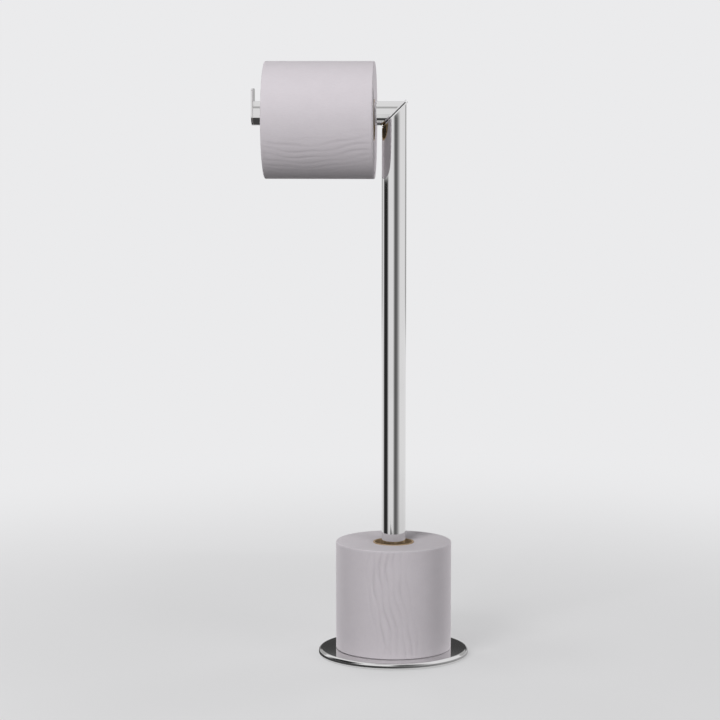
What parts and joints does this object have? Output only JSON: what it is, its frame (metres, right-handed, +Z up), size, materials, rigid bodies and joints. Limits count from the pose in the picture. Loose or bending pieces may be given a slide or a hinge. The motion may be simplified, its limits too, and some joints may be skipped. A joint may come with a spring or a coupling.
{
  "type": "toilet roll stand",
  "caption": "Free-standing toilet roll stand with a weighted round base, a post for spare rolls and a mitred bar that turns from level to upright.",
  "frame": {"origin": "on the floor, under the axis of the post", "axes": "+Z up along the post; the bar points to -X at rest; +Y is the back"},
  "size_m": [0.1983, 0.138, 0.5466],
  "materials": {
    "polished_steel": "mirror-polished stainless steel",
    "base_steel": "plain zinc-plated steel",
    "pad_rubber": "matte",
    "hardware_steel": "satin",
    "nylon": "matte",
    "tissue": "soft matte tissue paper",
    "core_board": "matte"
  },
  "bodies": {
    "stand": {"base_cover": "polished_steel", "base_weight": "base_steel", "base_pad": "pad_rubber", "base_screw": "hardware_steel", "post_foot_plug": "base_steel", "post_tube": "polished_steel", "post_mitre_plug": "polished_steel", "friction_washer": "nylon"},
    "arm": {"arm_mitre_plug": "polished_steel", "arm_tube": "polished_steel", "arm_end_plate": "polished_steel", "arm_end_plug": "nylon", "arm_end_stud": "hardware_steel", "arm_end_nut": "hardware_steel", "pivot_bolt": "hardware_steel", "pivot_washer": "hardware_steel", "disc_springs": "hardware_steel", "pivot_nut": "hardware_steel", "stop_pin": "hardware_steel"},
    "bar_roll": {"bar_roll_paper": "tissue", "bar_roll_core": "core_board"},
    "stored_roll": {"stored_roll_paper": "tissue", "stored_roll_core": "core_board"}
  },
  "joints": [
    {"name": "bar_swivel", "type": "hinge", "parent": "stand", "child": "arm", "pos_m": [0, 0, 0.499], "axis": [0.7071, 0, -0.7071], "range_deg": [0, 180]},
    {"name": "bar_roll_spin", "type": "hinge", "parent": "arm", "child": "bar_roll", "pos_m": [-0.0675, 0, 0.4931], "axis": [1, 0, 0], "continuous": true},
    {"name": "stored_roll_lift", "type": "slide", "parent": "stand", "child": "stored_roll", "axis": [0, 0, 1], "range_m": [0, 0.32]}
  ]
}
